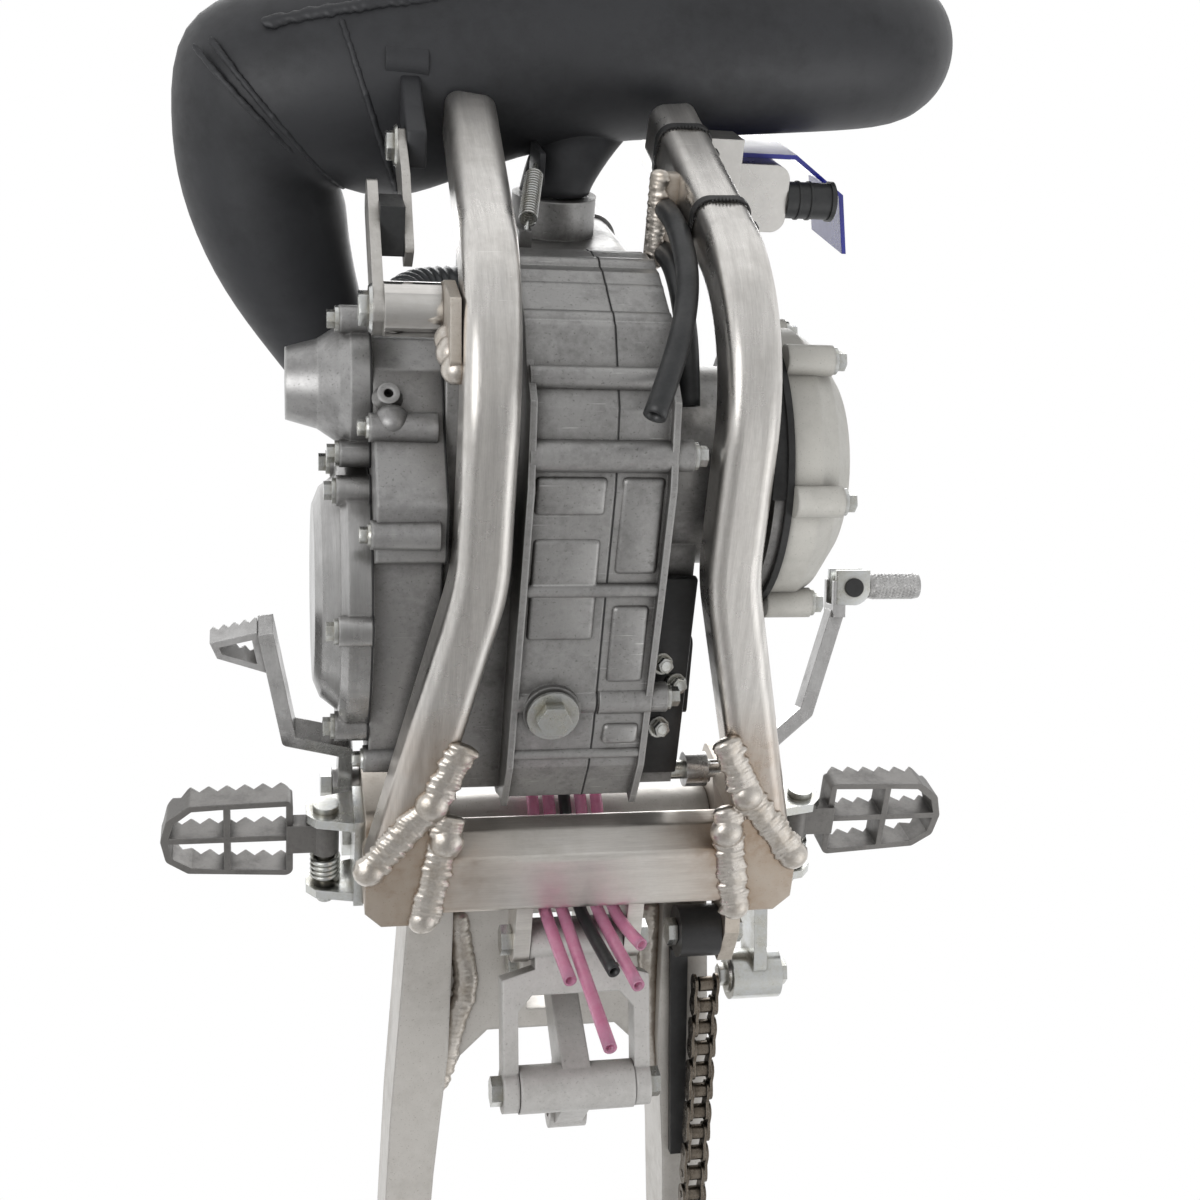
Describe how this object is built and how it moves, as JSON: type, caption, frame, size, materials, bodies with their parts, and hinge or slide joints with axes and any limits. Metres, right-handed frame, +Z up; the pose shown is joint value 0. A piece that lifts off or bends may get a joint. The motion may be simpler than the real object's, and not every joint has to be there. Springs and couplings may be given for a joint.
{
  "type": "motorcycle engine and cradle frame",
  "caption": "Lower chassis of an off-road motorcycle: aluminium cradle frame with engine, exhaust chamber, folding pegs, brake and shift levers, swingarm, linkage and hoses",
  "frame": {"origin": "middle of the cross tube's flat underside, where a lift stand carries the frame", "axes": "+X to the rider's left, +Y to the rear, +Z up"},
  "size_m": [0.5488, 1.1314, 0.5659],
  "materials": {
    "frame_aluminium": "satin",
    "weld": "rippled",
    "cast_aluminium": "cast",
    "machined_aluminium": "machined",
    "cover_paint": "satin",
    "gasket": "matte",
    "zinc_steel": "zinc plated",
    "peg_steel": "cast grey",
    "pedal_aluminium": "satin",
    "arm_aluminium": "satin",
    "chain_steel": "oiled",
    "black_plastic": "matte",
    "pipe_black": "matte",
    "black_rubber": "satin",
    "tank_aluminium": "brushed",
    "shroud_blue": "gloss",
    "drain_pink": "translucent"
  },
  "bodies": {
    "frame": {"right_rail": "frame_aluminium", "left_rail": "frame_aluminium", "cross_tube": "frame_aluminium", "right_pivot_plate": "frame_aluminium", "left_pivot_plate": "frame_aluminium", "linkage_bracket": "frame_aluminium", "pipe_bracket": "frame_aluminium", "weld_beads": "weld", "right_crankcase": "cast_aluminium", "left_crankcase": "cast_aluminium", "right_case_cover": "cast_aluminium", "water_pump_cover": "cast_aluminium", "cylinder": "cast_aluminium", "carburettor": "cast_aluminium", "clutch_cover": "machined_aluminium", "magneto_cover": "cover_paint", "magneto_gasket": "gasket", "drain_plug": "zinc_steel", "flange_bolts": "zinc_steel", "swingarm_bolt": "zinc_steel", "link_front_bolt": "zinc_steel", "chain_roller_bolt": "zinc_steel", "stand_bracket": "zinc_steel", "peg_brackets": "zinc_steel", "peg_pins": "zinc_steel", "peg_springs": "zinc_steel", "brake_pivot_bolt": "zinc_steel", "pipe_mount": "zinc_steel", "pipe_spring": "zinc_steel", "sprocket_guard": "black_plastic", "cable_ties": "black_plastic", "expansion_chamber": "pipe_black", "pipe_rubber": "black_rubber", "radiator_hose": "black_rubber", "breather_hose_a": "black_rubber", "breather_hose_b": "black_rubber", "black_drain_hose": "black_rubber", "radiator": "tank_aluminium", "radiator_shroud": "shroud_blue", "drain_hose_a": "drain_pink", "drain_hose_b": "drain_pink", "drain_hose_c": "drain_pink", "drain_hose_d": "drain_pink"},
    "swingarm": {"swingarm": "arm_aluminium", "relay_pivot_bolt": "zinc_steel", "drive_chain": "chain_steel", "chain_guide": "black_plastic", "chain_slider": "black_plastic"},
    "link": {"link_arm": "arm_aluminium", "link_rear_bolt": "zinc_steel"},
    "relay": {"relay_arm": "arm_aluminium"},
    "right_peg": {"right_footpeg": "peg_steel"},
    "left_peg": {"left_footpeg": "peg_steel"},
    "brake": {"brake_pedal": "pedal_aluminium", "brake_tip": "pedal_aluminium"},
    "shifter": {"shift_lever": "pedal_aluminium", "shift_shaft": "zinc_steel", "shift_tip_pin": "zinc_steel"},
    "shift_toe": {"shift_tip": "pedal_aluminium"},
    "roller": {"chain_roller": "black_plastic"}
  },
  "joints": [
    {"name": "swingarm_pivot", "type": "hinge", "parent": "frame", "child": "swingarm", "pos_m": [0, 0.033, 0.103], "axis": [1, 0, 0], "range_deg": [0, 24]},
    {"name": "link_pivot", "type": "hinge", "parent": "frame", "child": "link", "pos_m": [0, 0.062, 0.018], "axis": [1, 0, 0], "range_deg": [0, 24]},
    {"name": "relay_pivot", "type": "hinge", "parent": "swingarm", "child": "relay", "pos_m": [0, 0.117, 0.06], "axis": [1, 0, 0], "range_deg": [-24, 0]},
    {"name": "right_peg_fold", "type": "hinge", "parent": "frame", "child": "right_peg", "pos_m": [-0.154, 0.008, 0.064], "axis": [0, 1, 0], "range_deg": [0, 55], "stiffness_Nm_per_rad": 0.6, "springref_deg": -17.19},
    {"name": "left_peg_fold", "type": "hinge", "parent": "frame", "child": "left_peg", "pos_m": [0.154, 0.008, 0.064], "axis": [0, -1, 0], "range_deg": [0, 55], "stiffness_Nm_per_rad": 0.6, "springref_deg": -17.19},
    {"name": "brake_pivot", "type": "hinge", "parent": "frame", "child": "brake", "pos_m": [-0.141, -0.004, 0.102], "axis": [1, 0, 0], "range_deg": [0, 12], "stiffness_Nm_per_rad": 8, "springref_deg": -11.46},
    {"name": "shift_pivot", "type": "hinge", "parent": "frame", "child": "shifter", "pos_m": [0.076, -0.039, 0.052], "axis": [1, 0, 0], "range_deg": [-12, 12], "stiffness_Nm_per_rad": 20},
    {"name": "shift_toe_fold", "type": "hinge", "parent": "shifter", "child": "shift_toe", "pos_m": [0.176, -0.148, 0.09167], "axis": [0, 0.342, 0.9397], "range_deg": [0, 60], "stiffness_Nm_per_rad": 0.4, "springref_deg": -17.19},
    {"name": "chain_roller_spin", "type": "hinge", "parent": "frame", "child": "roller", "pos_m": [0.088, 0.08, 0.042], "axis": [1, 0, 0], "continuous": true}
  ],
  "couplings": [
    {"joint": "link_pivot", "follows": "swingarm_pivot", "ratio": 1},
    {"joint": "relay_pivot", "follows": "swingarm_pivot", "ratio": -1}
  ]
}
